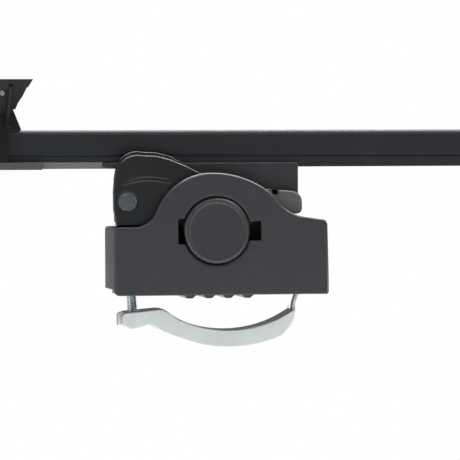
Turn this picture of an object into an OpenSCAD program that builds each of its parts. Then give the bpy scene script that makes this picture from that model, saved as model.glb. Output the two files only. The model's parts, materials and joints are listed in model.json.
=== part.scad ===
// Roof mounted bike carrier: a slotted rail on two strap clamp feet, with wheel holders and a frame arm.
// X runs along the rail, Z is up. The origin is on top of the roof bar, below the rear foot's pivot.

/* [Rail] */
// Length of the rail
rail_length = 1440; // [1400:10:1600]
// How far the rail reaches behind the rear foot
rail_rear = 400; // [395:5:450]
// Width of the rail
rail_w = 26; // [24:0.5:30]
// Height of the rail
rail_h = 21.4; // [20:0.2:26]
// Wall thickness of the rail
rail_wall = 2; // [1.6:0.1:2.4]
// Opening of the rail's lower slot
slot_w = 9; // [8.5:0.1:10]
// Inner width of the rail's lower slot
slot_inner_w = 18; // [17:0.2:19]
// Inner height of the rail's lower slot
slot_inner_h = 7; // [6.5:0.1:8]
// Radius of the rail's upper edges
rail_edge_r = 2; // [1:0.1:3]

/* [Foot] */
// Distance between the two feet
foot_spread = 600; // [560:5:640]
// Height of the rail's underside over the roof bar
rail_seat = 75.6; // [75:0.1:80]
// Reach of the housing behind its pivot
foot_rear = 59.5; // [59:0.5:64]
// Reach of the housing in front of its pivot
foot_front = 64.9; // [64:0.1:70]
// Wall thickness of the housing
foot_wall = 4.2; // [4:0.1:5]
// Height of the pivot over the roof bar
pivot_h = 38.9; // [38:0.1:39.5]
// Radius of the housing's dome
dome_r = 34.9; // [34:0.1:35.2]
// Height of the floor below the lever over the roof bar
lever_floor = 38; // [37:0.1:38.5]
// Height of the rear ledge and of the deck that the cam bears on
deck_h = 41.2; // [40.5:0.1:41.2]
// Height of the shoulder at the front end
shoulder_h = 44.8; // [43:0.1:46]
// Height of the grip teeth under the housing
tooth_h = 1.9; // [1.4:0.1:2.4]
// Spacing of the grip teeth
tooth_pitch = 11.2; // [10:0.1:12]
// Radius of the housing's upright corner at the rear of its back
rear_corner_r = 8; // [5:0.5:9]
// Radius of the housing's front upright corners
front_corner_r = 3.5; // [2:0.5:5]
// Radius of the round cap
cap_r = 19; // [18:0.1:19.5]
// How far the cap stands out of the front wall
cap_proud = 2.2; // [1:0.1:4]

/* [Clamp lever] */
// Thickness of the cam lever
lever_t = 6; // [5.6:0.1:6.5]
// Reach of the lever's pin behind the foot's pivot
pin_back = 50.9; // [50.5:0.1:51]
// Height of the lever's pin over the roof bar
pin_h = 55.8; // [55.6:0.1:56]
// Radius of the lever's pin
pin_r = 5.5; // [5:0.1:5.6]
// Radius of the cam that bears on the deck
cam_r = 11.3; // [11:0.05:11.4]
// Distance from the pin to the middle of the cam
cam_offset = 3; // [2.8:0.05:3.1]

/* [Strap] */
// Width of the steel strap
strap_w = 22; // [20:0.5:24]
// Thickness of the strap's sheet steel
strap_t = 1.6; // [1.5:0.05:1.7]
// Inner radius of the strap's bow
bow_r = 68.9; // [67:0.1:70]
// Depth of the strap's side flanges
flange_h = 9.8; // [9.4:0.1:11]
// Diameter of the tension bolt
bolt_d = 6; // [5.6:0.1:6.2]
// Lean of the tension bolt from upright
bolt_lean = 4; // [3.6:0.1:4.4]
// How far the strap lies in front of the rail's middle
strap_shift = 6; // [5:0.5:6.5]

/* [Rail bracket] */
// Width of the rail bracket across the rail
bracket_w = 30; // [29.5:0.1:31]
// Reach of the bracket in front of the pivot
bracket_front = 50; // [48:0.5:52]
// Reach of the bracket's plate behind the pivot
bracket_rear = 64; // [61:0.5:64]
// Diameter of the pivot bolt
pivot_bolt_d = 8; // [7:0.1:9]

/* [Wheel holders] */
// Distance from the rear foot back to the rear wheel holder's middle
rear_holder = 202; // [200:1:210]
// Distance from the rail's front end back to the front wheel holder's middle
front_inset = 105; // [104:1:120]
// Length of a wheel holder at its top
cradle_l = 190; // [186:1:196]
// Width of a wheel holder at its top
cradle_w = 72; // [70:1:80]
// Height of the wheel holder's horns over the rail
horn_h = 30.5; // [30:0.5:34]
// Radius of the tyre that sits in the holder
tyre_r = 345; // [300:5:370]
// Width of the wheel strap
wheel_strap_w = 20; // [16:0.5:22]
// Thickness of the wheel strap
wheel_strap_t = 2; // [1.6:0.1:2.2]

/* [Frame arm] */
// Distance from the rear foot forward to the arm's pivot
arm_pivot_x = 780; // [775:1:785]
// Height of the arm's pivot over the rail
arm_pivot_h = 21; // [21:0.5:26]
// Length of the arm from its pivot to the clamp
arm_l = 515; // [500:5:520]
// Width of the arm's oval tube
arm_w = 22; // [20:0.5:22]
// Height of the arm's oval tube
arm_h = 30; // [28:0.5:30]
// Widest opening of the frame clamp
jaw_gap = 56; // [50:1:58]
// Length of the jaws
jaw_l = 44; // [40:1:48]
// Radius of the clamp's knob
knob_r = 17; // [15:0.5:18]

/* [Hidden] */
$fn = 64;
slide_gap = 0.3;       // running gap between parts that slide or turn
lever_gap = 0.9;       // gap on either side of the lever
fit = 0.05;            // radial clearance of pins and bolts in their bores
rail_top = rail_seat + rail_h;
rail_x0 = -rail_rear;
rail_x1 = rail_length - rail_rear;
front_holder = rail_x1 - front_inset;
lip_t = 3;             // thickness of the lips beside the slot
groove_z = rail_seat + 6.1;
groove_t = 1;
groove_d = 0.8;
bracket_y = bracket_w / 2;
lever_back = -bracket_y - lever_gap;
lever_front = lever_back - lever_t;
wall_in = lever_front - lever_gap;
wall_front = wall_in - foot_wall;
rear_gap = 3.5;
rear_in = bracket_y + rear_gap;
wall_back = rear_in + foot_wall;
draft = 1.2;           // how far the housing's front end leans out at its foot
dome_c = [-2.5, pivot_h - 1.4];
slope_c = [9, pivot_h - 2.9];
slope_r = dome_r - 1.5;
shoulder_slope = 8.8;
pin_x = -pin_back;
bolt_r = bolt_d / 2;
pivot_r = pivot_bolt_d / 2;
bow_c = [9, bow_r - 18.9];
curl_mid = [-53, -10.2];
curl_r = 2.2;
curl_top = curl_mid + curl_r * [cos(98), sin(98)];
strap_end = [-32.5, -6.2];
hook_c = [49.5, 12];
hook_pin_r = 2.5;
hook_r = hook_pin_r + slide_gap;
hook_half = strap_w / 2 + 1.5;    // half width of the hook's pocket
strap_y = -strap_shift;
bolt_room = bolt_r + 1.2;         // half width of the lever's slot for the bolt
hub_back = strap_y + bolt_room + 3.8;
lever_step = 2.4;                 // thickness of the lever's lower front layer
cap_recess = 2;        // depth of the seat for the cap and the pivot bolt's head
spacer_r = 11;         // washers between the bracket and the housing's walls
nut_af = 13;           // width across flats of the pivot bolt's nut
seat_z = rail_seat + 2.6;         // top of the bracket's side lips
cradle_z = rail_top;
horn_top = rail_top + horn_h;
arm_z = rail_top + arm_pivot_h;
arm_r = arm_w / 2;
arm_flat = arm_h / 2 - arm_r;
head_x = arm_pivot_x - arm_l;
tube_in = 30;                     // how far the tube goes into the clamp's socket
spindle_r = 4;

// Points of an arc about c, from angle a0 to a1
function arc(c, r, a0, a1, n = 8) =
  [for (i = [0:n]) let (a = a0 + (a1 - a0) * i / n) [c[0] + r * cos(a), c[1] + r * sin(a)]];

// Middle of a fillet of radius r between a circle (c, cr) and a line through p that rises leftwards by slope,
// on the circle's left (side 1) or right (side -1)
function fillet_mid(p, slope, r, c, cr, side) =
  let (q = [p[0] + r * sin(slope), p[1] + r * cos(slope)], d = [-cos(slope), sin(slope)], w = q - c,
       b = w[0] * d[0] + w[1] * d[1], k = w[0] * w[0] + w[1] * w[1] - pow(cr + r, 2))
  q + d * (-b + side * sqrt(b * b - k));

function bearing(from, to) = atan2(to[1] - from[1], to[0] - from[0]);

// Unit normal to the left of a path at point i
function path_normal(p, i) =
  let (a = p[max(i - 1, 0)], b = p[min(i + 1, len(p) - 1)], d = b - a) [-d[1], d[0]] / norm(d);

// Closed outline of a sheet of thickness t that lies to the right of a path
function sheet_outline(p, t) =
  concat(p, [for (i = [len(p) - 1:-1:0]) p[i] - path_normal(p, i) * t]);

// An outline in X and Z, as deep as y0 to y1
module side(y0, y1) translate([0, y1, 0]) rotate([90, 0, 0]) linear_extrude(y1 - y0) children();

// An outline in Y and Z, as long as x0 to x1
module along(x0, x1) translate([x0, 0, 0]) rotate([90, 0, 90]) linear_extrude(x1 - x0) children();

module rod_y(x, z, y0, y1, r) translate([x, y1, z]) rotate([90, 0, 0]) cylinder(r = r, h = y1 - y0);

module rod_x(y, z, x0, x1, r) translate([x0, y, z]) rotate([0, 90, 0]) cylinder(r = r, h = x1 - x0);

module block(a, b) translate(a) cube(b - a);

module hex_y(x, z, y0, y1, af) translate([x, y1, z]) rotate([90, 0, 0])
  cylinder(d = af / cos(30), h = y1 - y0, $fn = 6);

module hex_z(x, y, z0, z1, af) translate([x, y, z0]) cylinder(d = af / cos(30), h = z1 - z0, $fn = 6);

// Rail

module rail_outline() {
  w = rail_w / 2;
  r = rail_edge_r;
  difference() {
    polygon(concat([[-w, rail_seat], [w, rail_seat]], arc([w - r, rail_top - r], r, 0, 90, 6),
                   arc([-w + r, rail_top - r], r, 90, 180, 6)));
    for (s = [-1, 1]) translate([s * w - groove_d, groove_z]) square([2 * groove_d, groove_t]);
    translate([-slot_w / 2, rail_seat - 1]) square([slot_w, lip_t + 2]);
    translate([-slot_inner_w / 2, rail_seat + lip_t]) square([slot_inner_w, slot_inner_h]);
    translate([-w + rail_wall, rail_seat + lip_t + slot_inner_h + rail_wall])
      square([rail_w - 2 * rail_wall, rail_h - lip_t - slot_inner_h - 2 * rail_wall]);
  }
}

module rail() color("#26282b") along(rail_x0, rail_x1) rail_outline();

module end_cap_outline() {
  w = rail_w / 2;
  r = rail_edge_r;
  polygon(concat([[-w, rail_seat], [w, rail_seat]], arc([w - r, rail_top - r], r, 0, 90, 6),
                 arc([-w + r, rail_top - r], r, 90, 180, 6)));
}

module end_cap(x, dir) {
  cap_t = 4;
  plug_l = 12;
  play = 0.1;
  z0 = rail_seat + lip_t + slot_inner_h + rail_wall + play;
  half = rail_w / 2 - rail_wall - play;
  translate([x, 0, 0]) mirror([dir < 0 ? 1 : 0, 0, 0]) {
    along(0, cap_t) end_cap_outline();
    block([-plug_l, -half, z0], [0, half, rail_top - rail_wall - play]);
  }
}

module rail_end_caps() color("#1d1e20") {
  end_cap(rail_x0, -1);
  end_cap(rail_x1, 1);
}

// Light strip clipped on the rail's lower lip, between the wheel holder and the foot
module slot_cover() color("#8a8b8c") {
  cover_t = 0.8;
  x0 = -rear_holder + clamp_reach + slide_gap;
  x1 = -bracket_rear - slide_gap;
  w = rail_w / 2;
  h = lip_t + cover_t;
  along(x0, x1) difference() {
    translate([-w - cover_t, rail_seat - cover_t]) square([2 * (w + cover_t), h]);
    translate([-w, rail_seat]) square([2 * w, h]);
  }
}

// Clamp foot. Every module below draws a foot whose pivot is over the origin

// Side outline of the housing: rear ledge, dome and front shoulder
module housing_side() {
  corner = 2.5;
  left_r = 14;
  right_r = 25;
  foot_r = 3;
  toe_r = 1.8;
  left = fillet_mid([0, deck_h], 0, left_r, dome_c, dome_r, 1);
  shoulder = [foot_front - 1.5, shoulder_h];
  right = fillet_mid(shoulder, shoulder_slope, right_r, slope_c, slope_r, -1);
  polygon(concat(
    arc([-foot_rear + foot_r, tooth_h + foot_r], foot_r, 270, 180, 5),
    arc([-foot_rear + corner, deck_h - corner], corner, 180, 90, 4),
    arc(left, left_r, 270, 360 + bearing(left, dome_c), 8),
    arc(dome_c, dome_r, bearing(dome_c, left), 88, 14),
    arc(slope_c, slope_r, 82, bearing(slope_c, right), 8),
    arc(right, right_r, 180 + bearing(slope_c, right), 270 - shoulder_slope, 6),
    [shoulder, [foot_front, shoulder_h - 2.5]],
    arc([foot_front + draft - toe_r, tooth_h + toe_r], toe_r, 0, -90, 4)));
}

// Outline of the housing from above. Its front wall bends back a little at the rear, up to a crease
module housing_plan() {
  x1 = foot_front + draft;
  rr = rear_corner_r;
  fr = front_corner_r;
  bend_r = 20;
  polygon(concat(
    arc([-foot_rear + 8, wall_front + bend_r], bend_r, 270 - asin(8 / bend_r), 270),
    arc([x1 - fr, wall_front + fr], fr, 270, 360, 6),
    arc([x1 - fr, wall_back - fr], fr, 0, 90, 6), arc([-foot_rear + rr, wall_back - rr], rr, 90, 180)));
}

module grip_teeth() {
  count = 4;
  tip = 3;
  base = 7.4;
  middle = 1.5;
  for (i = [0:count - 1]) translate([middle + (i - (count - 1) / 2) * tooth_pitch, 0])
    polygon([[-base / 2, tooth_h], [-tip / 2, 0], [tip / 2, 0], [base / 2, tooth_h]]);
}

module housing() color("#3e3f42") {
  deck_rear_x = -foot_rear + 2.5;
  well_x = -36;
  well_front = 55;
  well_z = 24;
  difference() {
    union() {
      intersection() {
        side(wall_front, wall_back) housing_side();
        translate([0, 0, -1]) linear_extrude(rail_seat) housing_plan();
      }
      side(wall_front + 3, wall_back - 3) grip_teeth();
    }
    // room for the lever beside the bracket, open at the top
    block([deck_rear_x, wall_in, lever_floor], [well_x, lever_back + lever_gap, rail_seat]);
    // open middle of the housing above the deck
    block([deck_rear_x - 5, wall_in, deck_h], [well_x, rear_in, rail_seat]);
    block([well_x, wall_in, well_z], [well_front, rear_in, rail_seat]);
    // raised underside at the rear, behind the front wall
    block([-foot_rear - 1, wall_in - 1, -1], [-foot_rear + 5, wall_back + 1, tooth_h + 3.4]);
    // slot for the tension bolt, through deck and floor
    block([pin_x - 4, strap_y - bolt_r - 1.5, -1], [pin_x + bolt_r + 7, strap_y + bolt_r + 1.5, deck_h + 1]);
    // pocket for the strap's hook, open below
    block([hook_c[0] - 7, strap_y - hook_half, -1], [hook_c[0] + 8, strap_y + hook_half, hook_c[1] + 7]);
    // cap recess, its two side gaps and the pivot bolt
    rod_y(0, pivot_h, wall_front - 1, wall_front + cap_recess, cap_r + 0.6);
    side(wall_front - 1, wall_in + 1) difference() {
      union() {
        translate([-cap_r - 3.4, pivot_h - 7.6]) square([9, 14.6]);
        translate([cap_r - 2, pivot_h - 5.8]) square([9, 11.3]);
      }
      translate([0, pivot_h]) circle(r = cap_r - 1.5);
    }
    rod_y(0, pivot_h, wall_front, wall_back + 1, pivot_r + fit);
    hex_y(0, pivot_h, wall_back - nut_seat, wall_back + 1, nut_af + 0.4);
    rod_y(hook_c[0], hook_c[1], strap_y - hook_half - 4, strap_y + hook_half + 8, hook_pin_r + fit);
  }
}

module rail_bracket() color("#232427") {
  lip = rail_w / 2 + slide_gap;
  plate_z = rail_seat - 4.8;
  boss_r = 13;
  difference() {
    union() {
      side(-bracket_y, bracket_y) polygon([
        [-bracket_rear, rail_seat - 0.2], [-bracket_rear, seat_z], [bracket_front, seat_z],
        [bracket_front, 59.5], [40, 55], [boss_r, pivot_h - 4], [-boss_r, pivot_h - 4], [-32, 58],
        [-32, plate_z - 3], [-35, plate_z], [3.4 - bracket_rear, plate_z], [2 - bracket_rear, plate_z + 2]]);
      rod_y(0, pivot_h, -bracket_y, bracket_y, boss_r);
    }
    block([-bracket_rear - 1, -lip, rail_seat], [bracket_front + 1, lip, seat_z + 1]);
    rod_y(0, pivot_h, -bracket_y - 1, bracket_y + 1, pivot_r + fit);
    for (x = rail_bolt_x) {
      translate([x, 0, 40]) cylinder(r = bolt_r + fit, h = 40);
      block([x - 5.9, -6.6, 62], [x + 5.9, bracket_y + 1, 67.6]);
    }
  }
}

rail_bolt_x = [6, 36];

// Slot bolts with square heads, and their nuts in the bracket's traps
module rail_bolts() color("#8d9498") for (x = rail_bolt_x) {
  head_z = rail_seat + lip_t + slide_gap;
  block([x - 7, -slot_inner_w / 2 + slide_gap, head_z], [x + 7, slot_inner_w / 2 - slide_gap, head_z + 4]);
  translate([x, 0, 60]) cylinder(r = bolt_r, h = head_z - 60);
  hex_z(x, 0, 62.2, 67.4, 10);
}

nut_seat = 2;
bolt_head_r = 7;
bolt_head_h = 2.2;

// Bolt with a low round head under the cap, and its nut on the back
module pivot_bolt() color("#8d9498") {
  seat = wall_front + cap_recess;
  rod_y(0, pivot_h, seat - bolt_head_h, seat, bolt_head_r);
  rod_y(0, pivot_h, seat - 1, wall_back + 3.5, pivot_r);
  hex_y(0, pivot_h, wall_back - nut_seat, wall_back + 2.5, nut_af);
}

// Washers that keep the bracket in the middle of the housing
module pivot_spacers() color("#8d9498") difference() {
  union() {
    rod_y(0, pivot_h, wall_in, -bracket_y, spacer_r);
    rod_y(0, pivot_h, bracket_y, rear_in, spacer_r);
  }
  rod_y(0, pivot_h, wall_in - 1, rear_in + 1, pivot_r + fit);
}

module pivot_cap() color("#3a3b3e") {
  rim = 2.2;
  dish = 0.4;
  hollow_r = bolt_head_r + 0.5;
  hollow_h = bolt_head_h + 0.3;
  h = cap_recess + cap_proud;
  translate([0, wall_front + cap_recess, pivot_h]) rotate([90, 0, 0]) rotate_extrude()
    polygon(concat([[0, hollow_h], [hollow_r, hollow_h], [hollow_r, 0], [cap_r, 0]],
                   arc([cap_r - rim, h - rim], rim, 0, 90, 6),
                   [[cap_r - rim - 1.2, h - dish], [0, h - dish]]));
}

// Side outline of the cam lever: its tall rear hump, its top slope and the bar that runs to the grip
module lever_side(drop) {
  polygon(concat(
    [[pin_x - 6.4, pin_h - 13.8], [pin_x - 7.9, pin_h - 4], [pin_x - 8, pin_h + 6],
     [pin_x - 7.2, pin_h + 15 - drop]],
    arc([pin_x + 5.8, pin_h + 16.4 - drop], 12.6, 172, 76, 8),
    [[-34, 84.1 - drop], [-26, 82 - drop], [-18, 77.6 - drop / 2], [-8, 72], [6, 68.2]], tang,
    [[6, 54.5], [-8, 54.6], [-20, 51.5], [-31, 45.5], [-38, pin_h - 13.8]]));
}

grip_top = 62.6;
grip_low = 48.8;
grip_x = 24;
grip_end = 51;
tang_x = grip_x;
tang_end = 42;
tang = [[tang_x, grip_top - 2], [tang_end, grip_top - 3.2], [tang_end, grip_low + 2.6],
        [tang_x, grip_low + 2.2]];

module cam_lever() color("#202124") {
  step_y = lever_front + lever_step;
  lean = -90 + bolt_lean;
  swing = 100;
  cam_mid = [pin_x + cam_offset * cos(60), pin_h - cam_offset * sin(60)];
  difference() {
    union() {
      side(step_y, lever_back) lever_side(0);
      side(lever_front, step_y) difference() {
        lever_side(2.2);
        translate([tang_x, 0]) square(rail_top);
      }
      intersection() {
        rod_y(cam_mid[0], cam_mid[1], lever_back, hub_back, cam_r);
        block([pin_x - pin_r + 0.5, lever_back - 1, 0], [0, hub_back + 1, rail_seat]);
      }
    }
    rod_y(pin_x, pin_h, lever_front - 1, hub_back + 1, pin_r + fit);
    // room for the tension bolt over the lever's whole swing
    translate([pin_x, 0, pin_h]) side(strap_y - bolt_room, strap_y + bolt_room) {
      polygon([[0, 0], 25 * [cos(lean), sin(lean)], 30 * [cos(lean - swing / 2), sin(lean - swing / 2)],
               25 * [cos(lean - swing), sin(lean - swing)]]);
      for (a = [lean, lean - swing]) rotate(a) translate([0, -bolt_room]) square([25, 2 * bolt_room]);
    }
  }
}

// Grey end of the lever that the fingers pull, with a small slot in its top
module lever_grip() color("#66676a") {
  r = 6.5;
  difference() {
    side(lever_front, lever_back) polygon(concat(
      [[grip_x, grip_low - 0.6]], arc([grip_end - 3, grip_low + 2.6], 3, 270, 360, 4),
      arc([grip_end - r, grip_top - r - 1], r, 0, 80, 6),
      [[grip_x + 6, grip_top + 0.2], [grip_x, grip_top]]));
    side(lever_front + lever_step, lever_back + 1) polygon(tang);
    block([grip_x + 7, lever_front - 1, grip_top - 1.6], [grip_x + 12, lever_front + 2.2, grip_top + 1]);
  }
}

module lean_with_bolt() translate([pin_x, strap_y, pin_h]) rotate([0, -bolt_lean, 0]) children();

bolt_drop = 72.8;

module barrel_pin() color("#50565a") difference() {
  rod_y(pin_x, pin_h, lever_front - 0.3, hub_back, pin_r);
  lean_with_bolt() translate([0, 0, -20]) cylinder(r = bolt_r + fit, h = 26);
}

module tension_bolt() color("#9aa3a8") lean_with_bolt() translate([0, 0, -bolt_drop])
  cylinder(r = bolt_r, h = bolt_drop + 4);

nut_z = -67.4;
nut_h = 4.5;
nut_collar_r = 4;
collar_top = -65.2;

// Nut with a round collar that reaches up to the strap
module tension_nut() color("#9aa3a8") lean_with_bolt() difference() {
  union() {
    translate([0, 0, nut_z - nut_h]) cylinder(d = 10 / cos(30), h = nut_h, $fn = 6);
    translate([0, 0, nut_z - 1]) cylinder(r = nut_collar_r, h = collar_top - nut_z + 1);
  }
  translate([0, 0, nut_z - nut_h - 1]) cylinder(r = bolt_r + fit, h = nut_h + 10);
}

bow_a0 = -115.3;
bow_a1 = -56.5;
crest = [strap_end, [-29.8, -6.3], [-28, -7.3], [-25.5, -9.2]];

// Top line of the strap's web: curl, sloping end, crest, bow, tongue and the hook round its pin
strap_top = concat(
  [[curl_mid[0] - curl_r, -15.6]], arc(curl_mid, curl_r, 180, 98, 5), crest,
  arc(bow_c, bow_r, bow_a0, bow_a1, 16),
  [[47.4, -5.2], [47.9, -2.4], [49.6, 2], [51.2, 5.6], [hook_c[0] + hook_r, 9]],
  arc(hook_c, hook_r, 0, 200, 12));

module strap() color("#c3c9c8") {
  half = strap_w / 2;
  tongue_half = half - 7.5;
  bow_top = concat([[-53.4, -10.4], [-52.9, -9], curl_top + 0.12 * (strap_end - curl_top)], crest,
                   arc(bow_c, bow_r, bow_a0, bow_a1, 16));
  bow_low = concat([[47.3, -5.8], [47.2, -11], [45.2, -16.2]],
                   arc(bow_c, bow_r + flange_h, -67, -112, 12),
                   [[-27.5, -20.4], [-32.6, -17.9], [-36, -15.6], [-38.4, -15.1], [-41.5, -16],
                    [-44.5, -17.1], [-49.2, -17.7], [-51.9, -15.8], [-53.3, -12.8]]);
  difference() {
    union() {
      side(strap_y - tongue_half, strap_y + tongue_half) polygon(sheet_outline(strap_top, strap_t));
      side(strap_y - half, strap_y + half) polygon(sheet_outline(bow_top, strap_t));
      for (y = [strap_y - half, strap_y + half - strap_t])
        side(y, y + strap_t) polygon(concat(bow_top, bow_low));
    }
    lean_with_bolt() translate([0, 0, -bolt_drop]) {
      block([-bolt_r - 2, -bolt_r - 0.4, 0], [bolt_r + 2, bolt_r + 0.4, 20]);
    }
  }
}

module hook_pin() color("#8d9498") {
  rod_y(hook_c[0], hook_c[1], strap_y - hook_half - 4, strap_y + hook_half + 8, hook_pin_r);
}

// Wheel holder, about its own middle

clamp_reach = cradle_l / 2 + 7.5;

// Upper half of the holder's outline across the rail: saddle, waist and flared walls
module cradle_across() {
  seat = rail_w / 2 + slide_gap;
  cheek = seat + 3.6;
  waist_z = cradle_z + 10;
  top = cradle_w / 2;
  low = rail_seat + lip_t + slide_gap;
  polygon([
    [-cheek, low], [-seat, low], [-seat, cradle_z + slide_gap], [seat, cradle_z + slide_gap],
    [seat, low], [cheek, low], [cheek, cradle_z + 1], [cheek - 0.8, waist_z],
    [top - 4, horn_top - 6], [top, horn_top + 1], [-top, horn_top + 1], [-top + 4, horn_top - 6],
    [-cheek + 0.8, waist_z], [-cheek, cradle_z + 1]]);
}

// Side outline of the holder: waisted ends, flat horns and a dip between them for the strap
module cradle_side() {
  half = cradle_l / 2;
  waist = half - 10;
  base = half - 5.2;
  cheek_end = half - 12;
  horn_in = 46;
  dip = 9;
  function end_curve() = concat(
    [[cheek_end, rail_seat], [cheek_end, cradle_z - 1], [base, cradle_z], [base - 2.4, cradle_z + 6]],
    [[waist, cradle_z + 12]], arc([waist + 20, cradle_z + 17], 19.2, 195, 152, 4), [[half, horn_top]]);
  right = concat(end_curve(), [[horn_in, horn_top], [horn_in - 12, horn_top - dip]]);
  polygon(concat(right, [for (i = [len(right) - 1:-1:0]) [-right[i][0], right[i][1]]]));
}

module cradle() color("#1e2023") {
  rib_t = 2.4;
  pad = 27;
  pad_half = 14;
  tie_hole = 1.6;
  trough = 7;
  mouth = cradle_w / 2 - 4;
  difference() {
    union() {
      intersection() {
        side(-cradle_w, cradle_w) cradle_side();
        along(-cradle_l, cradle_l) cradle_across();
      }
      block([-pad_half, -pad, cradle_z + 2], [pad_half, pad, horn_top - 9.2]);
      intersection() {
        for (x = [-84, -72, -60, -48, 46, 58, 70, 82]) along(x, x + rib_t) polygon([
          [-18, cradle_z + 2], [18, cradle_z + 2], [18, cradle_z + 8], [cradle_w / 2 - 1.6, horn_top - 4],
          [-cradle_w / 2 + 1.6, horn_top - 4], [-18, cradle_z + 8]]);
        side(-cradle_w, cradle_w) cradle_side();
      }
    }
    // trough for the tyre
    along(-cradle_l, cradle_l) polygon([
      [-trough, cradle_z + 7], [trough, cradle_z + 7], [mouth, horn_top], [mouth, horn_top + 9],
      [-mouth, horn_top + 9], [-mouth, horn_top]]);
    translate([0, 0, cradle_z + 5 + tyre_r]) rotate([90, 0, 0])
      cylinder(r = tyre_r, h = 24, center = true, $fn = 360);
    // flat seats for the strap and the buckle
    for (s = [0, 1]) mirror([0, s, 0])
      block([-pad_half, pad, cradle_z + 2], [pad_half, cradle_w, horn_top + 2]);
    for (x = [-79, 79]) rod_y(x, cradle_z + 21, -cradle_w, cradle_w, tie_hole);
    for (x = strap_screw_x) rod_y(x, cradle_z + 8, 15, 40, 1.5 + fit);
    for (x = cradle_screw_x) rod_y(x, rail_seat + 6.6, -30, 30, 2 + fit);
  }
}

cradle_screw_x = [-60, 60];
strap_screw_x = [-6, 6];

// Sheet steel channel that closes the saddle round the rail's lower lips
module cradle_clamp() color("#47484a") {
  seat = rail_w / 2 + slide_gap;
  out = seat + 3.6;
  bottom = rail_seat - slide_gap;
  t = 1;
  along(-clamp_reach, clamp_reach) difference() {
    translate([-out, bottom - t]) square([2 * out, lip_t + slide_gap + t]);
    translate([-seat, bottom]) square([2 * seat, lip_t + 1]);
  }
}

// Side screws of the saddle and the screws that hold the strap and the buckle
module cradle_screws() color("#8d9498") {
  cheek = rail_w / 2 + slide_gap + 3.6;
  for (x = cradle_screw_x, s = [-1, 1]) mirror([0, s < 0 ? 1 : 0, 0]) {
    rod_y(x, rail_seat + 6.6, rail_w / 2 + slide_gap, cheek, 2);
    rod_y(x, rail_seat + 6.6, cheek, cheek + 2, 3.8);
  }
  for (x = strap_screw_x) {
    rod_y(x, cradle_z + 8, 17, 27 + wheel_strap_t + 0.3, 1.5);
    rod_y(x, cradle_z + 8, 27 + wheel_strap_t + 0.3, 27 + wheel_strap_t + 1.8, 3);
  }
}

// Toothed band that arches over the tyre, from the rear pad to the buckle
module wheel_strap() color("#232427") {
  half = wheel_strap_w / 2;
  r_in = 27.2;
  low = cradle_z + 3.5;
  spring_z = cradle_z + 24;
  inner = concat([[r_in, low]], arc([0, spring_z], r_in, 0, 180, 16), [[-r_in, low]]);
  tooth = 3.2;
  difference() {
    union() {
      along(-half, half) polygon(sheet_outline(inner, wheel_strap_t));
      for (i = [0:9]) along(-half + 2, half - 2) translate([0, spring_z])
        rotate(128 + i * 5.4) polygon([[r_in + 1, -tooth / 2], [r_in + wheel_strap_t + 0.9, tooth / 2 - 0.6],
                                       [r_in + 1, tooth / 2]]);
    }
    for (x = strap_screw_x) rod_y(x, cradle_z + 8, 20, 40, 1.5 + fit);
  }
}

module buckle_base() color("#1c1d1f") {
  in = 27;
  out = 38;
  half = wheel_strap_w / 2 + 3.4;
  wall = 3;
  z0 = cradle_z + 3;
  z1 = cradle_z + 26;
  difference() {
    union() {
      for (s = [-1, 1]) along(s > 0 ? half - wall : -half, s > 0 ? half : -half + wall)
        polygon([[-in, z0], [-in, horn_top - 9.2], [-in - 2.6, z1 - 4], [-out + 4, z1], [-out, z1 - 4],
                 [-out, z0 + 8], [-out + 5, z0]]);
      block([-half, -in - wheel_strap_t - 3, z0], [half, -in - wheel_strap_t - 0.6, z0 + 7]);
    }
    rod_x(buckle_y, buckle_z, -30, 30, 1.5 + fit);
  }
}

buckle_y = -34;
buckle_z = cradle_z + 21.5;

module buckle_pin() color("#8d9498")
  rod_x(buckle_y, buckle_z, -wheel_strap_w / 2 - 3.6, wheel_strap_w / 2 + 3.6, 1.5);

module buckle_lever() color("#2a2b2e") {
  half = wheel_strap_w / 2;
  difference() {
    along(-half, half) polygon([
      [buckle_y + 3.3, buckle_z - 1], [buckle_y + 3.3, buckle_z + 1], [buckle_y + 1.6, buckle_z + 3],
      [buckle_y - 1.4, buckle_z + 3], [buckle_y - 4, buckle_z - 1], [buckle_y - 6, buckle_z - 18],
      [buckle_y - 9.5, buckle_z - 25], [buckle_y - 8, buckle_z - 26], [buckle_y - 4, buckle_z - 19.5],
      [buckle_y - 1, buckle_z - 5]]);
    rod_x(buckle_y, buckle_z, -half - 1, half + 1, 1.5 + fit);
  }
}

// Frame arm, folded down along the rail

module stadium(r, flat) union() {
  for (s = [-1, 1]) translate([0, s * flat]) circle(r = r);
  square([2 * r, 2 * flat], center = true);
}

arm_base_half = 38;
arm_base_out = rail_w / 2 + slide_gap + 5;
arm_base_bolt_x = [-26, 26];

module arm_base() color("#1e2023") translate([arm_pivot_x, 0, 0]) {
  seat = rail_w / 2 + 0.1;
  ear_in = arm_r + 0.5;
  difference() {
    side(-arm_base_out, arm_base_out) polygon(concat(
      [[-arm_base_half, rail_seat - 4], [arm_base_half, rail_seat - 4], [arm_base_half, rail_top + 2],
       [arm_base_half - 8, rail_top + 10]],
      arc([0, arm_z], 17, 20, 160, 10),
      [[-arm_base_half + 8, rail_top + 6], [-arm_base_half, rail_top + 1]]));
    block([-arm_base_half - 1, -seat, rail_seat], [arm_base_half + 1, seat, rail_top]);
    block([-arm_base_half - 1, -ear_in, rail_top + 2.6], [arm_base_half + 1, ear_in, arm_z + 30]);
    rod_y(0, arm_z, -40, 40, 5 + fit);
    for (x = arm_base_bolt_x) translate([x, 0, rail_seat - 10]) cylinder(r = 3 + fit, h = 20);
  }
}

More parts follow.
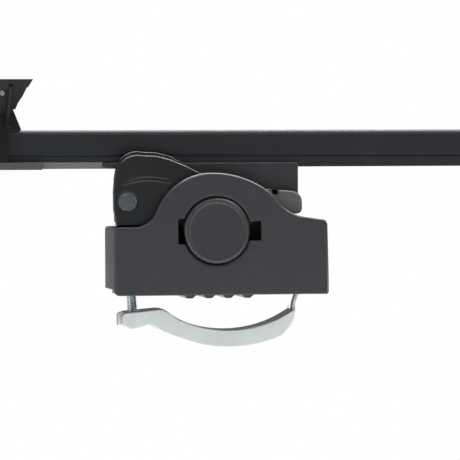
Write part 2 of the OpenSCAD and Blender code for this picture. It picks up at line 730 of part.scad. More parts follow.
module arm_base_bolts() color("#8d9498") for (x = arm_base_bolt_x) translate([arm_pivot_x + x, 0, 0]) {
  block([-7, -slot_inner_w / 2 + 0.3, rail_seat + lip_t], [7, slot_inner_w / 2 - 0.3, rail_seat + lip_t + 4]);
  translate([0, 0, rail_seat - 10]) cylinder(r = 3, h = lip_t + 10);
  hex_z(0, 0, rail_seat - 9, rail_seat - 4, 10);
}

module arm_pin() color("#8d9498") {
  rod_y(arm_pivot_x, arm_z, -arm_base_out - 1, arm_base_out + 1, 5);
  for (s = [-1, 1]) rod_y(arm_pivot_x, arm_z, s > 0 ? arm_base_out : -arm_base_out - 3,
                          s > 0 ? arm_base_out + 3 : -arm_base_out, 8);
}

module arm_tube() color("#26282b") difference() {
  union() {
    along(head_x - tube_in + 2, arm_pivot_x) translate([0, arm_z]) stadium(arm_r, arm_flat);
    rod_y(arm_pivot_x, arm_z, -arm_r, arm_r, arm_h / 2);
  }
  along(head_x - tube_in - 1, arm_pivot_x - 22) translate([0, arm_z]) stadium(arm_r - 2, arm_flat);
  rod_y(arm_pivot_x, arm_z, -arm_r - 1, arm_r + 1, 5 + fit);
}

head_half = jaw_gap / 2 + 10;
beam_x = head_x - tube_in - 20;

module clamp_head() color("#1e2023") difference() {
  wall = 3;
  z0 = arm_z - 15;
  z1 = arm_z + 15;
  union() {
    along(beam_x + 10, head_x) translate([0, arm_z]) stadium(arm_r + wall, arm_flat);
    // cross beam and the fixed jaw on its far side, with the spindle's ear on the near side
    translate([0, 0, z0]) linear_extrude(z1 - z0) polygon([
      [beam_x + 18, -22], [beam_x + 14, -head_half], [beam_x + 12, -head_half - 16],
      [beam_x - 18, -head_half - 16], [beam_x - 18, -head_half - 11], [beam_x, -head_half - 11],
      [beam_x, jaw_gap / 2 + 2], [beam_x - 8, jaw_gap / 2], [beam_x - jaw_l, jaw_gap / 2],
      [beam_x - jaw_l - 2, jaw_gap / 2 + 8], [beam_x - jaw_l + 6, jaw_gap / 2 + 11],
      [beam_x + 6, head_half + 4], [beam_x + 16, 26]]);
  }
  along(head_x - tube_in, head_x + 1) translate([0, arm_z]) stadium(arm_r + fit, arm_flat);
  rod_y(clamp_x, arm_z, -head_half - 30, head_half - 2, spindle_r + fit);
}

clamp_x = beam_x - 10;

module moving_jaw() color("#1e2023") difference() {
  z0 = arm_z - 14;
  z1 = arm_z + 14;
  y = -jaw_gap / 2;
  translate([0, 0, z0]) linear_extrude(z1 - z0) polygon([
    [beam_x - slide_gap, y - 9.5], [beam_x - slide_gap, y + 2], [beam_x - 8, y], [beam_x - jaw_l, y],
    [beam_x - jaw_l - 2, y - 8], [beam_x - jaw_l + 6, y - 9.5]]);
  rod_y(clamp_x, arm_z, -60, 0, spindle_r + fit);
}

module jaw_pad(y, dir) {
  t = 4;
  x0 = beam_x - jaw_l + 1;
  x1 = beam_x - 19;
  difference() {
    block([x0, dir > 0 ? y - t : y, arm_z - 13], [x1, dir > 0 ? y : y + t, arm_z + 13]);
    translate([(x0 + x1) / 2, dir > 0 ? y - t - 13 : y + t + 13, arm_z - 20]) cylinder(r = 15, h = 40);
  }
}

module clamp_spindle() color("#8d9498") rod_y(clamp_x, arm_z, -head_half - 22, jaw_gap / 2 + 7, spindle_r);

module clamp_knob() color("#2a2b2e") difference() {
  y0 = -head_half - 16.3;
  knob_l = 20;
  union() {
    rod_y(clamp_x, arm_z, y0 - knob_l, y0, knob_r - 4);
    rod_y(clamp_x, arm_z, y0 - 3, y0, knob_r - 5);
    for (p = arc([clamp_x, arm_z], knob_r - 5, 60, 360, 5)) rod_y(p[0], p[1], y0 - knob_l, y0 - 3, 5);
  }
  rod_y(clamp_x, arm_z, -head_half - 22, y0 + 1, spindle_r + fit);
}

module rear() children();
module front() translate([foot_spread, 0, 0]) children();
module at_rear_holder() translate([-rear_holder, 0, 0]) children();
module at_front_holder() translate([front_holder, 0, 0]) children();

rail();
rail_end_caps();
slot_cover();
rear() housing();  // rear_housing
rear() rail_bracket();  // rear_rail_bracket
rear() rail_bolts();  // rear_rail_bolts
rear() pivot_bolt();  // rear_pivot_bolt
rear() pivot_spacers();  // rear_pivot_spacers
rear() pivot_cap();  // rear_pivot_cap
rear() cam_lever();  // rear_cam_lever
rear() lever_grip();  // rear_lever_grip
rear() barrel_pin();  // rear_barrel_pin
rear() tension_bolt();  // rear_tension_bolt
rear() tension_nut();  // rear_tension_nut
rear() strap();  // rear_strap
rear() hook_pin();  // rear_hook_pin
front() housing();  // front_housing
front() rail_bracket();  // front_rail_bracket
front() rail_bolts();  // front_rail_bolts
front() pivot_bolt();  // front_pivot_bolt
front() pivot_spacers();  // front_pivot_spacers
front() pivot_cap();  // front_pivot_cap
front() cam_lever();  // front_cam_lever
front() lever_grip();  // front_lever_grip
front() barrel_pin();  // front_barrel_pin
front() tension_bolt();  // front_tension_bolt
front() tension_nut();  // front_tension_nut
front() strap();  // front_strap
front() hook_pin();  // front_hook_pin
at_rear_holder() cradle();  // rear_cradle
at_rear_holder() cradle_clamp();  // rear_cradle_clamp
at_rear_holder() cradle_screws();  // rear_cradle_screws
at_rear_holder() wheel_strap();  // rear_wheel_strap
at_rear_holder() buckle_base();  // rear_buckle_base
at_rear_holder() buckle_pin();  // rear_buckle_pin
at_rear_holder() buckle_lever();  // rear_buckle_lever
at_front_holder() cradle();  // front_cradle
at_front_holder() cradle_clamp();  // front_cradle_clamp
at_front_holder() cradle_screws();  // front_cradle_screws
at_front_holder() wheel_strap();  // front_wheel_strap
at_front_holder() buckle_base();  // front_buckle_base
at_front_holder() buckle_pin();  // front_buckle_pin
at_front_holder() buckle_lever();  // front_buckle_lever
arm_base();
arm_base_bolts();
arm_pin();
arm_tube();
clamp_head();
color("#141416") jaw_pad(jaw_gap / 2, 1);  // fixed_jaw_pad
moving_jaw();
color("#141416") jaw_pad(-jaw_gap / 2, -1);  // moving_jaw_pad
clamp_spindle();
clamp_knob();
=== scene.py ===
import bpy
import bmesh
import json
import math
from mathutils import Vector, Matrix


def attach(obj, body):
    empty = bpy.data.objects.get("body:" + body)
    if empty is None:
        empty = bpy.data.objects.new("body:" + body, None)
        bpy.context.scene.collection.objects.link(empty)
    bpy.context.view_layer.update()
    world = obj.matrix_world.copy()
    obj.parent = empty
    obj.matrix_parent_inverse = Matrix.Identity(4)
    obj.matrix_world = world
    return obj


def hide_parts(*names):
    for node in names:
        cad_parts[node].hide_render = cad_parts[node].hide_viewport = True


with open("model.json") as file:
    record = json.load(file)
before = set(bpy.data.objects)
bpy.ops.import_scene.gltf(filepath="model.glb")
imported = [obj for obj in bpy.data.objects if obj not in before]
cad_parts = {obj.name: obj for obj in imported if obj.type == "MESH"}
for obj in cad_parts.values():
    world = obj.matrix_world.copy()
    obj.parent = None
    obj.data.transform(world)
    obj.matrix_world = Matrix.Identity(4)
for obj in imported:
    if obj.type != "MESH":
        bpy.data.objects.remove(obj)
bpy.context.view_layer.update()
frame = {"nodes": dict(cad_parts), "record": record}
scene = bpy.context.scene
nodes = frame["nodes"]
nodeBody = {n: b for b, names in frame["record"]["behaviour"]["bodies"].items() for n in names}
mm = 0.001
print("frame loaded:", len(nodes), "nodes")


# Materials: grain is a fine bump, wear and tint are slow changes of roughness and colour, all in object coordinates
slowNoise = {"Detail": 3.0, "Roughness": 0.6}
grainNoise = {"Detail": 2.0, "Roughness": 0.55}
edgeSamples = 8
mixPorts = {"factor": 0, "first": 6, "second": 7, "result": 2}      # the mix node's colour sockets
webFacing = (0.15, 0.8)      # how far a normal points along Y, from web to flange: the span over which the painted reflection fades out


def addNode(mat, kind, **values):
    made = mat.node_tree.nodes.new(kind)
    for key, value in values.items():
        if hasattr(made, key):
            setattr(made, key, value)
        else:
            made.inputs[key.replace("_", " ")].default_value = value
    return made


def ramp(mat, source, start, end):
    made = addNode(mat, "ShaderNodeMapRange", From_Min=start[0], From_Max=start[1], To_Min=end[0], To_Max=end[1])
    mat.node_tree.links.new(source, made.inputs["Value"])
    return made.outputs["Result"]


def axisOf(mat, source, axis):
    made = addNode(mat, "ShaderNodeSeparateXYZ")
    mat.node_tree.links.new(source, made.inputs[0])
    return made.outputs[axis]


def blend(mat, kind, **parts):
    made = addNode(mat, "ShaderNodeMix", data_type="RGBA", blend_type=kind)
    for key, value in parts.items():
        port = made.inputs[mixPorts[key]]
        if isinstance(value, bpy.types.NodeSocket):
            mat.node_tree.links.new(value, port)
        else:
            port.default_value = value
    return made.outputs[mixPorts["result"]]


usual = {"metal": 0, "specular": 0.5, "coat": 0, "coatRough": 0.1, "wear": 0.05, "wearScale": 60, "tint": 0.06,
         "depth": 0.05}      # depth and edge in mm


def finish(name, spec):
    look = {**usual, **spec}
    mat = bpy.data.materials.new(name)
    mat.use_nodes = True
    links = mat.node_tree.links
    shader = mat.node_tree.nodes["Principled BSDF"]
    for port, key in (("Metallic", "metal"), ("Specular IOR Level", "specular"), ("Coat Weight", "coat"),
                      ("Coat Roughness", "coatRough")):
        shader.inputs[port].default_value = look[key]
    where = addNode(mat, "ShaderNodeTexCoord")
    slow = addNode(mat, "ShaderNodeTexNoise", Scale=look["wearScale"], **slowNoise)
    links.new(where.outputs["Object"], slow.inputs["Vector"])
    rough = ramp(mat, slow.outputs["Fac"], (0, 1), (look["rough"] - look["wear"], look["rough"] + look["wear"]))
    links.new(rough, shader.inputs["Roughness"])
    darker, lighter = [(*[c * (1 + way * look["tint"]) for c in look["colour"]], 1) for way in (-1, 1)]
    colour = blend(mat, "MIX", factor=slow.outputs["Fac"], first=darker, second=lighter)
    if "webPaintedReflection" in look:      # painted reflection: faces turned away from Y are darkened where the dark housing above them would be mirrored
        turned = addNode(mat, "ShaderNodeMath", operation="ABSOLUTE")
        links.new(axisOf(mat, where.outputs["Normal"], "Y"), turned.inputs[0])
        reflectionShade = ramp(mat, turned.outputs[0], webFacing, (look["webPaintedReflection"], 1))
        colour = blend(mat, "MULTIPLY", factor=1.0, first=colour, second=reflectionShade)
    if "rim" in look:      # painted highlight along the upper edge, standing for light caught on its rounding, fading downwards: heights in mm
        low, high, top = [z * mm for z in look["rim"]]
        height = axisOf(mat, where.outputs["Object"], "Z")
        least = addNode(mat, "ShaderNodeMath", operation="MINIMUM")
        links.new(ramp(mat, height, (low, high), (0, 1)), least.inputs[0])
        links.new(ramp(mat, height, (high, top), (1, 0)), least.inputs[1])
        colour = blend(mat, "MIX", factor=least.outputs[0], first=colour, second=(*look["rimHighlightColour"], 1))
    links.new(colour, shader.inputs["Base Color"])
    grain = addNode(mat, "ShaderNodeTexNoise", Scale=look["grainScale"], **grainNoise)
    grainAt = where.outputs["Object"]
    if "brushed" in look:      # the grain is drawn out along one axis
        stretch = addNode(mat, "ShaderNodeMapping", Scale=look["brushed"])
        links.new(grainAt, stretch.inputs["Vector"])
        grainAt = stretch.outputs["Vector"]
    links.new(grainAt, grain.inputs["Vector"])
    bump = addNode(mat, "ShaderNodeBump", Strength=look["grain"], Distance=look["depth"] * mm)
    links.new(grain.outputs["Fac"], bump.inputs["Height"])
    rounded = addNode(mat, "ShaderNodeBevel", samples=edgeSamples, Radius=look["edge"] * mm)      # soft edges
    links.new(rounded.outputs["Normal"], bump.inputs["Normal"])
    links.new(bump.outputs["Normal"], shader.inputs["Normal"])
    return mat


finishes = {
    "moulded_grey": dict(colour=(0.0135, 0.0145, 0.0185), edge=1.2, rough=0.5, coat=0.3, coatRough=0.3,
                         grainScale=1600, grain=0.55, depth=0.08, wear=0.06, wearScale=230, tint=0.2),
    "moulded_black": dict(colour=(0.013, 0.014, 0.018), edge=1.2, rough=0.48, grainScale=1500, grain=0.4, depth=0.06),
    "zinc": dict(colour=(0.30, 0.315, 0.33), edge=0.4, rough=0.38, metal=1, grainScale=500, grain=0.2, wear=0.08),
    "pin_zinc": dict(colour=(0.080, 0.095, 0.106), edge=0.6, rough=0.42, metal=0.6, grainScale=900, grain=0.5,
                     wearScale=520, tint=0.6, wear=0.12, brushed=(1, 1, 0.35)),
    "bolt_zinc": dict(colour=(0.50, 0.56, 0.6), edge=0.4, rough=0.36, metal=1, grainScale=600, grain=0.25, wear=0.08),
    "cap_grey": dict(colour=(0.0115, 0.0125, 0.016), edge=0.6, rough=0.5, coat=0.3, coatRough=0.3, grainScale=1600,
                     grain=0.5, depth=0.08),
    "lever_black": dict(colour=(0.007, 0.008, 0.010), specular=0.42, edge=1.2, rough=0.32, grainScale=900, grain=0.12),
    "grip_grey": dict(colour=(0.068, 0.069, 0.073), edge=1.6, rough=0.5, grainScale=1400, grain=0.3),
    # the galvanised web is darkened by a painted reflection of the housing above it
    "galvanised": dict(colour=(0.66, 0.70, 0.70), edge=0.7, rough=0.42, metal=0.75, grainScale=260, grain=0.3,
                       wear=0.1, wearScale=90, tint=0.1, webPaintedReflection=0.55),
    "holder_black": dict(colour=(0.004, 0.005, 0.006), specular=0.2, edge=1.2, rough=0.5, grainScale=1300, grain=0.15),
    "clamp_plate": dict(colour=(0.06, 0.061, 0.064), edge=0.6, rough=0.45, grainScale=900, grain=0.25),
    "strap_black": dict(colour=(0.018, 0.018, 0.019), edge=0.5, rough=0.6, grainScale=1100, grain=0.3),
    # the rail has a painted highlight band just under its upper edge
    "rail_black": dict(colour=(0.009, 0.011, 0.014), specular=0.32, edge=0.7, rough=0.46, grainScale=1200, grain=0.15,
                       depth=0.04, rim=(94.0, 96.7, 96.95), rimHighlightColour=(0.068, 0.069, 0.072)),
    "cap_black": dict(colour=(0.013, 0.013, 0.014), edge=0.6, rough=0.5, grainScale=1200, grain=0.3),
    "cover_grey": dict(colour=(0.125, 0.125, 0.13), edge=0.4, rough=0.45, grainScale=1000, grain=0.2),
    "pad_rubber": dict(colour=(0.012, 0.012, 0.012), edge=0.8, rough=0.75, grainScale=900, grain=0.4),
    "knob_black": dict(colour=(0.020, 0.020, 0.021), edge=1.2, rough=0.5, grainScale=1200, grain=0.35),
}
materials = {name: finish(name, spec) for name, spec in finishes.items()}
slotOf = {s["node"]: s["material_slot"] for s in frame["record"]["subparts"]}
for name, node in nodes.items():
    node.data.materials.clear()
    node.data.materials.append(materials[slotOf[name]])
print("finishes made:", len(materials))


# Working copies of CAD meshes: the triangles are merged into faces, and the edges of the real piece are rounded
meshWork = {
    "merge": 1e-6, "weld": 1e-7,      # distances in metres
    "near": 0.05,      # how close, in mm, a point counts as on a face
    "flat": 0.6, "sharp": 26, "sharpEdge": 28, "sharpShade": 40,      # angles in degrees
    "segments": 2,      # of the modifiers' edges
}


def workMesh(name):
    bm = bmesh.new()
    bm.from_mesh(nodes[name].data)
    bmesh.ops.remove_doubles(bm, verts=bm.verts[:], dist=meshWork["merge"])
    flat = math.radians(meshWork["flat"])
    bmesh.ops.dissolve_limit(bm, angle_limit=flat, verts=bm.verts[:], edges=bm.edges[:])
    return bm


def isSharp(edge, angle):
    return len(edge.link_faces) == 2 and edge.calc_face_angle(0) > math.radians(angle)


def roundEdges(bm, width, segments, chosen):
    edges = [e for e in bm.edges if isSharp(e, meshWork["sharp"]) and chosen((e.verts[0].co + e.verts[1].co) / 2 / mm)]
    if edges:
        bmesh.ops.bevel(bm, geom=edges, offset=width * mm, offset_type="OFFSET", segments=segments, profile=0.5,
                        affect="EDGES", clamp_overlap=False, material=-1, loop_slide=True)


def place(bm, pieceName, node, sharp=meshWork["sharpShade"]):
    mesh = bpy.data.meshes.new(pieceName)
    bmesh.ops.remove_doubles(bm, verts=bm.verts[:], dist=meshWork["weld"])
    bmesh.ops.recalc_face_normals(bm, faces=bm.faces[:])
    bm.to_mesh(mesh)
    bm.free()
    mesh.shade_smooth()
    mesh.set_sharp_from_angle(angle=math.radians(sharp))
    mesh.materials.append(materials[slotOf[node]])
    obj = bpy.data.objects.new(pieceName, mesh)
    scene.collection.objects.link(obj)
    shade = obj.modifiers.new("shade", "WEIGHTED_NORMAL")
    shade.keep_sharp = True
    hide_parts(node)
    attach(obj, nodeBody[node])
    return obj


def weighByEdge(bm, weightOf, sharp=meshWork["sharp"]):      # the bevel's width can change along one outline
    layer = bm.edges.layers.float.new("bevel_weight_edge")
    for e in bm.edges:
        if isSharp(e, sharp):
            ends = [v.co / mm for v in e.verts]
            e[layer] = weightOf((ends[0] + ends[1]) / 2, ends)


def bevelFirst(obj, width, segments, method):
    edge = obj.modifiers.new("edge", "BEVEL")
    edge.width, edge.segments, edge.limit_method = width * mm, segments, method
    obj.modifiers.move(obj.modifiers.find("edge"), 0)
    return edge


feet = {"rear": 0.0, "front": 600.0}      # x of each foot's pivot

# The dome's crown: the flat between its arc and its slope becomes one smooth curve
crown = {"from": (-1.28, 72.38), "to": (25.9, 64.81), "leaves": -1.0, "arrives": -29.0, "flatEnd": 13.65, "cuts": 6,
         "near": 0.1, "flatAbove": 68, "curveAbove": 64.9, "inside": (0.01, 0.99)}


def roundCrown(bm, x0):
    look = crown
    (x1, z1), (x2, z2) = look["from"], look["to"]
    leave, arrive = [math.tan(math.radians(look[k])) * (x2 - x1) for k in ("leaves", "arrives")]

    def onFlat(e):
        xs = sorted(v.co.x / mm - x0 for v in e.verts)
        ends = abs(xs[0] - x1) < look["near"] and abs(xs[1] - look["flatEnd"]) < look["near"]
        return ends and min(v.co.z for v in e.verts) > look["flatAbove"] * mm

    bmesh.ops.subdivide_edges(bm, edges=[e for e in bm.edges if onFlat(e)], cuts=look["cuts"], use_grid_fill=True)
    for v in bm.verts:
        t = (v.co.x / mm - x0 - x1) / (x2 - x1)
        if look["inside"][0] < t < look["inside"][1] and v.co.z > look["curveAbove"] * mm:
            v.co.z = mm * ((2 * t**3 - 3 * t**2 + 1) * z1 + (t**3 - 2 * t**2 + t) * leave
                           + (3 * t**2 - 2 * t**3) * z2 + (t**3 - t**2) * arrive)


# Housing: a soft edge along dome, ledge and shoulder, finer at the left bend, at the bottom and beside the cap.
# The strip is inset along the front wall's rim first, so that the edge has room
housingLook = {
    "front": -27.0, "creaseY": -25.0, "bendX": -51.4, "facing": -0.9, "width": 1.65, "strip": 1.75, "segments": 5,
    "pivotZ": 38.9, "capClear": 20.5, "gapX": 27, "gapZ": (30, 47), "gapWeight": 0.12,
    "fadeFrom": -46, "fadeOver": 8, "bendWeight": 0.3, "bottomZ": 6, "bottomWeight": 0.4,
}


def housing(foot, x0):
    look = housingLook
    node = foot + "_housing"
    bm = workMesh(node)
    roundCrown(bm, x0)

    def weightOf(mid, ends):
        x, z = mid.x - x0, mid.z
        onFace = all(v.y < look["front"] + meshWork["near"] for v in ends)
        onBend = x < look["bendX"] and all(v.y < look["creaseY"] for v in ends)
        if not (onFace or onBend) or math.hypot(x, z - look["pivotZ"]) < look["capClear"]:
            return 0.0
        if onFace and look["gapZ"][0] < z < look["gapZ"][1] and abs(x) < look["gapX"]:
            return look["gapWeight"]
        fade = min(1.0, max(look["bendWeight"], 1 + (x - look["fadeFrom"]) / look["fadeOver"]))
        return min(fade, look["bottomWeight"]) if z < look["bottomZ"] else fade

    wall = [f for f in bm.faces
            if f.normal.y < look["facing"] and f.calc_center_median().y < look["creaseY"] * mm]
    bmesh.ops.inset_region(bm, faces=wall, thickness=look["strip"] * mm, depth=0, use_even_offset=True)
    weighByEdge(bm, weightOf)
    shell = place(bm, foot + "_housing_shell", node)
    bevelFirst(shell, look["width"], look["segments"], "WEIGHT").use_clamp_overlap = False


# Strap: rounded along the two long edges between its web and its flanges
strapLook = {
    "width": 0.7, "segments": 4, "sharp": 20, "flangeY": (-17.0, 5.0), "from": -50.0, "to": 40.0, "under": 1.2,
    "bowFrom": -25, "bowCentre": (9, 50), "bowRadius": 68.9, "foldTop": -6.2, "foldMiddle": -32.5, "foldSlope": 0.0875,
}


def strap(foot, x0):
    look = strapLook
    node = foot + "_strap"
    bm = workMesh(node)

    def webTop(x):
        if x > look["bowFrom"]:
            return look["bowCentre"][1] - math.sqrt(look["bowRadius"] ** 2 - (x - look["bowCentre"][0]) ** 2)
        return look["foldTop"] - look["foldSlope"] * abs(x - look["foldMiddle"])

    def weightOf(mid, ends):
        x = mid.x - x0
        outside = any(all(abs(v.y - flangeY) < meshWork["near"] for v in ends) for flangeY in look["flangeY"])
        return float(outside and look["from"] < x < look["to"] and mid.z > webTop(x) - look["under"])

    weighByEdge(bm, weightOf, look["sharp"])
    band = place(bm, foot + "_strap_band", node)
    bevelFirst(band, look["width"], look["segments"], "WEIGHT").use_clamp_overlap = False


# Moulded ridges on the lever's and the grip's front face, as points (x, z) in mm from the foot's pivot plane
ridgeLines = {
    "cam_lever": [[(-53.4, 65.6), (-50.5, 66.6), (-47.5, 67.4), (-43.7, 68.1), (-39.9, 68.4), (-36, 68.3),
                   (-32.3, 67.8), (-24.0, 66.4)],
                  [(-51.1, 67.9), (-48.2, 68.9), (-45.2, 69.7), (-42.2, 70.3), (-39.3, 70.5), (-36.4, 70.5),
                   (-33.4, 70.2), (-27.5, 69.1)]],
    "lever_grip": [[(36.0, 53.6), (37.8, 55.3), (39.5, 56.3), (41.3, 56.9), (43.4, 57.1), (45.4, 56.9), (47.4, 56.4),
                    (49.2, 55.5)]],
}
ridgeLook = {"half": 0.55, "proud": 0.28, "sunk": 0.3, "shoulder": (0.8, 0.35), "runOut": (0.35, 0.3)}


def ridge(bm, points, front, x0):
    look = ridgeLook
    (wide, high), (lead, tail) = look["shoulder"], look["runOut"]
    rows = []
    for i, (x, z) in enumerate(points):
        a, b = points[max(i - 1, 0)], points[min(i + 1, len(points) - 1)]
        across = Vector((-(b[1] - a[1]), b[0] - a[0])).normalized()
        swell = look["proud"] * math.sin(math.pi * (i + lead) / (len(points) - tail))      # runs out at both ends
        row = []
        for side, lift in ((-1, -look["sunk"]), (-wide, high * swell), (0, swell), (wide, high * swell),
                           (1, -look["sunk"])):
            row.append(bm.verts.new(Vector((x + x0 + across.x * side * look["half"], front - lift,
                                            z + across.y * side * look["half"])) * mm))
        rows.append(row)
    for a, b in zip(rows, rows[1:]):
        for k in range(len(a)):
            m = (k + 1) % len(a)
            bm.faces.new((a[k], a[m], b[m], b[k]))
    bm.faces.new(rows[0])
    bm.faces.new(rows[-1])


# Grip: the slot in its top is cut deeper. Rim and wall are where the CAD's slot has them, each with its tolerance
gripSlot = {"from": 31.0, "to": 36.0, "middle": 33, "above": 60.5, "near": 0.1, "rim": (61.0, 0.15), "wall": (2.2, 0.1),
            "between": (33.2, 36.8), "floor": (60.2, 59.0), "depth": 5.2, "sharpMargin": 0.2, "sharpAbove": 57}


def inSlot(x, z, margin, above):
    return gripSlot["from"] - margin < x < gripSlot["to"] + margin and z > above


def deepenSlot(bm, front, x0):
    slot = gripSlot
    for v in bm.verts:
        x, y, z = v.co.x / mm - x0, v.co.y / mm - front, v.co.z / mm
        if inSlot(x, z, slot["near"], slot["above"]):
            right = x > slot["middle"]
            if abs(z - slot["rim"][0]) < slot["rim"][1]:
                v.co.z = mm * slot["floor"][right]
            if abs(y - slot["wall"][0]) < slot["wall"][1]:
                v.co.y = (front + slot["depth"]) * mm
            v.co.x = (slot["between"][right] + x0) * mm


# Bracket: its rear end, in front of the lever, is shallower than its middle
heel = {"cuts": (-51.8, -52.2), "low": 75.2, "near": 0.1, "squeeze": 0.1}


def liftHeel(bm, x0):
    look = heel
    for cut in look["cuts"]:
        bmesh.ops.bisect_plane(bm, geom=bm.verts[:] + bm.edges[:] + bm.faces[:], plane_co=((cut + x0) * mm, 0, 0),
                               plane_no=(1, 0, 0))
    low = look["low"] * mm
    for v in bm.verts:
        if v.co.x < (look["cuts"][1] + x0 + look["near"]) * mm and v.co.z < low:
            v.co.z = low + (v.co.z - low) * look["squeeze"]


# Bracket, lever, grip, nut and pin have even edges all round: (width in mm, segments)
evenEdges = {"rail_bracket": (0.9, 3), "cam_lever": (0.7, 3), "lever_grip": (1.1, 4), "tension_nut": (0.3, 2),
             "barrel_pin": (0.5, 3)}


def evenly(foot, kind, x0):
    width, segments = evenEdges[kind]
    node = foot + "_" + kind
    bm = workMesh(node)
    front = min(v.co.y for v in bm.verts) / mm
    if kind == "lever_grip":
        deepenSlot(bm, front, x0)

    def chosen(mid):      # the slot's own edges stay sharp
        return kind != "lever_grip" or not inSlot(mid.x - x0, mid.z, gripSlot["sharpMargin"], gripSlot["sharpAbove"])

    roundEdges(bm, width, segments, chosen)
    if kind == "rail_bracket":
        liftHeel(bm, x0)
    for points in ridgeLines.get(kind, []):
        ridge(bm, points, front, x0)
    place(bm, node + "_piece", node)


# Tension bolt: the thread is a helix cut into the rod, over its lower part
boltLook = {"radius": 3.0, "low": -72.8, "high": 4.0, "threadTop": -24.0, "runOut": 2.0, "pitch": 1.0, "depth": 0.6,
            "steps": 6, "sides": 28, "chamfer": (0.5, 0.7), "place": (-50.9, -6.0, 55.8), "lean": -4.0,
            "sharpShade": 60}


def tensionBolt(foot, x0):
    look = boltLook
    bm = bmesh.new()
    count = int((look["high"] - look["low"]) / look["pitch"] * look["steps"])
    column = []
    for i in range(count + 1):
        z = look["low"] + (look["high"] - look["low"]) * i / count
        column.append(bm.verts.new((look["radius"] * mm, 0, z * mm)))
    edges = [bm.edges.new(pair) for pair in zip(column, column[1:])]
    bmesh.ops.spin(bm, geom=column + edges, cent=(0, 0, 0), axis=(0, 0, 1), angle=math.tau, steps=look["sides"])
    bmesh.ops.remove_doubles(bm, verts=bm.verts[:], dist=meshWork["merge"])
    for v in bm.verts:
        z = v.co.z / mm
        phase = (z / look["pitch"] - math.atan2(v.co.y, v.co.x) / math.tau) % 1.0
        strength = max(0.0, min(1.0, (look["threadTop"] - z) / look["runOut"]))
        tip = max(0.0, 1.0 - (z - look["low"]) / look["chamfer"][1]) * look["chamfer"][0]
        cut = max(look["depth"] * (1 - abs(2 * phase - 1)) * strength, tip)
        v.co.x *= 1 - cut / look["radius"]
        v.co.y *= 1 - cut / look["radius"]
    bmesh.ops.holes_fill(bm, edges=[e for e in bm.edges if e.is_boundary])
    lean = Matrix.Rotation(math.radians(look["lean"]), 4, "Y")
    x, y, z = look["place"]
    bm.transform(Matrix.Translation(Vector((x + x0, y, z)) * mm) @ lean)
    place(bm, foot + "_threaded_bolt", foot + "_tension_bolt", look["sharpShade"])


for foot, x0 in feet.items():
    for kind in evenEdges:
        evenly(foot, kind, x0)
    tensionBolt(foot, x0)
    housing(foot, x0)
    strap(foot, x0)
print("feet made")


# Wheel holders: the ends of the trough flare out in a smooth curve. Both rows give (height over the rail's top, reach
# in from the holder's end), before and after
holderEnd = {
    "base": 97.0, "bottom": -0.5, "plateau": 45.0, "inner": 12.5, "near": 1.3, "width": 0.6, "segments": 2,
    "before": [(-30, 0), (0, -5.2), (6, -7.6), (12.01, -10), (12.02, -8.55), (17, -9.2), (21.5, -8.6), (26, -6.95),
               (31, 0.5)],
    "after": [(-30, 0), (0, -4.4), (6, -6.2), (12.01, -9.2), (12.02, -9.3), (17, -5.4), (21.5, -3.2), (26, -1.9),
              (31, -0.8)],
    "lowered": 1.8, "loweredFrom": 26.0,
}


def along(rows, at):
    for (a, u), (b, w) in zip(rows, rows[1:]):
        if a <= at <= b:
            return u + (w - u) * (at - a) / (b - a)
    return 0.0


def wheelHolder(which):
    look = holderEnd
    node = which + "_cradle"
    bm = workMesh(node)
    xs = [v.co.x / mm for v in bm.verts]
    middle, half = (min(xs) + max(xs)) / 2, (max(xs) - min(xs)) / 2
    for v in bm.verts:
        x, h = v.co.x / mm - middle, v.co.z / mm - look["base"]
        reach = abs(x) - half
        before, after = along(look["before"], h), along(look["after"], h)
        if h > look["bottom"] and reach > -look["inner"] and abs(reach - before) < look["near"]:
            v.co.x += math.copysign(after - before, x) * mm
        if h > look["loweredFrom"] and abs(x) > look["plateau"]:
            v.co.z -= look["lowered"] * mm
    piece = place(bm, node + "_trough", node)
    bevelFirst(piece, look["width"], look["segments"], "ANGLE").angle_limit = math.radians(meshWork["sharpEdge"])


for which in ("rear", "front"):
    wheelHolder(which)
print("wheel holders made")


# The other nodes keep their mesh and have their edges rounded by modifiers: widths in mm
edgeWidths = {
    "rail": 0.6, "rail_end_caps": 0.4, "slot_cover": 0.15, "rail_bolts": 0.3, "pivot_bolt": 0.4, "pivot_spacers": 0.3,
    "hook_pin": 0.3, "cradle_clamp": 0.15, "cradle_screws": 0.4, "wheel_strap": 0.3, "buckle_base": 0.5,
    "buckle_pin": 0.3, "buckle_lever": 0.6, "arm_base": 0.8, "arm_base_bolts": 0.4, "arm_pin": 0.5, "arm_tube": 0.3,
    "clamp_head": 1.2, "fixed_jaw_pad": 0.6, "moving_jaw": 1.0, "moving_jaw_pad": 0.6, "clamp_spindle": 0.4,
    "clamp_knob": 1.0,
}


def soften(name, width):
    node = nodes[name]
    weld = node.modifiers.new("weld", "WELD")
    weld.merge_threshold = meshWork["merge"]
    flat = node.modifiers.new("flat", "DECIMATE")
    flat.decimate_type = "DISSOLVE"
    flat.angle_limit = math.radians(meshWork["flat"])
    edge = node.modifiers.new("edge", "BEVEL")
    edge.width, edge.segments, edge.limit_method = width * mm, meshWork["segments"], "ANGLE"
    edge.angle_limit = math.radians(meshWork["sharpEdge"])
    shade = node.modifiers.new("shade", "WEIGHTED_NORMAL")
    shade.keep_sharp = True


for name in nodes:
    for kind, width in edgeWidths.items():
        if name in (kind, "rear_" + kind, "front_" + kind):
            soften(name, width)
print("edges rounded")


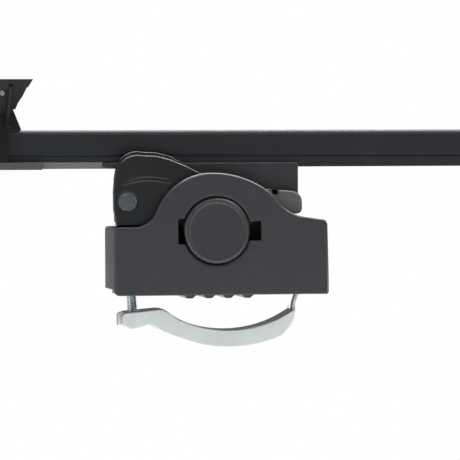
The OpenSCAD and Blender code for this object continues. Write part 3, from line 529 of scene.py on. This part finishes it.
# Camera and light: metres and watts
photoView = {"place": (-0.2847, -1.762, 0.0761), "target": (0.0076, -0.027, 0.0393), "roll": -0.25, "lens": 239.5,
             "sensor": 36, "near": 0.05}
lamps = {
    "key": dict(place=(-0.7, -1.1, 1.6), target=(0.1, 0, 0.05), size=(1.4, 0.8), power=11),
    "fill": dict(place=(1.6, -1.5, 0.5), target=(0.2, 0, 0.05), size=(1.0, 0.8), power=4),
    "top": dict(place=(0.2, 0.3, 1.5), target=(0.1, 0, 0.05), size=(2.6, 0.5), power=88),
    "left": dict(place=(-1.5, -0.6, 0.25), target=(-0.06, 0, 0.03), size=(0.25, 1.2), power=6),
}
studio = {"sky": 0.3, "floorAt": (0.3, 0, -0.30), "floorHalf": 2, "floorTone": 0.9, "floorRough": 0.9}


def aim(obj, place, target, roll=0.0):
    obj.location = place
    look = (Vector(target) - Vector(place)).to_track_quat("-Z", "Y")
    obj.rotation_mode = "QUATERNION"
    obj.rotation_quaternion = look @ Matrix.Rotation(math.radians(roll), 3, "Z").to_quaternion()


def softbox(name, place, target, size, power):
    data = bpy.data.lights.new(name, "AREA")
    data.shape = "RECTANGLE"
    data.size, data.size_y = size
    data.energy = power
    lamp = bpy.data.objects.new(name, data)
    scene.collection.objects.link(lamp)
    aim(lamp, place, target)


def whiteForCamera(tree, lit, kind, output):      # the camera sees plain white, and the light comes from lit
    path = tree.nodes.new("ShaderNodeLightPath")
    clear = tree.nodes.new(kind)
    clear.inputs["Color"].default_value = (1, 1, 1, 1)
    clear.inputs["Strength"].default_value = 1.0
    mix = tree.nodes.new("ShaderNodeMixShader")
    tree.links.new(path.outputs["Is Camera Ray"], mix.inputs[0])
    tree.links.new(lit.outputs[0], mix.inputs[1])
    tree.links.new(clear.outputs[0], mix.inputs[2])
    tree.links.new(mix.outputs[0], tree.nodes[output].inputs["Surface"])


def paleFloor():
    mesh = bpy.data.meshes.new("floor")
    bm = bmesh.new()
    bmesh.ops.create_grid(bm, x_segments=2, y_segments=2, size=studio["floorHalf"])
    bmesh.ops.translate(bm, verts=bm.verts[:], vec=studio["floorAt"])
    bm.to_mesh(mesh)
    bm.free()
    floor = bpy.data.objects.new("floor", mesh)
    scene.collection.objects.link(floor)
    mat = bpy.data.materials.new("floor_white")
    mat.use_nodes = True
    pale = mat.node_tree.nodes["Principled BSDF"]
    pale.inputs["Base Color"].default_value = (*[studio["floorTone"]] * 3, 1)
    pale.inputs["Roughness"].default_value = studio["floorRough"]
    whiteForCamera(mat.node_tree, pale, "ShaderNodeEmission", "Material Output")
    mesh.materials.append(mat)


def whiteBackdrop():
    world = bpy.data.worlds.new("studio")
    world.use_nodes = True
    scene.world = world
    sky = world.node_tree.nodes["Background"]
    sky.inputs["Color"].default_value = (1, 1, 1, 1)
    sky.inputs["Strength"].default_value = studio["sky"]
    whiteForCamera(world.node_tree, sky, "ShaderNodeBackground", "World Output")


cameraData = bpy.data.cameras.new("camera")
cameraData.lens = photoView["lens"]
cameraData.sensor_width = photoView["sensor"]
cameraData.clip_start = photoView["near"]
camera = bpy.data.objects.new("camera", cameraData)
scene.collection.objects.link(camera)
aim(camera, photoView["place"], photoView["target"], photoView["roll"])
scene.camera = camera
for name, spec in lamps.items():
    softbox(name, **spec)
scene.view_settings.view_transform = "Standard"
paleFloor()
whiteBackdrop()
print("stage set")
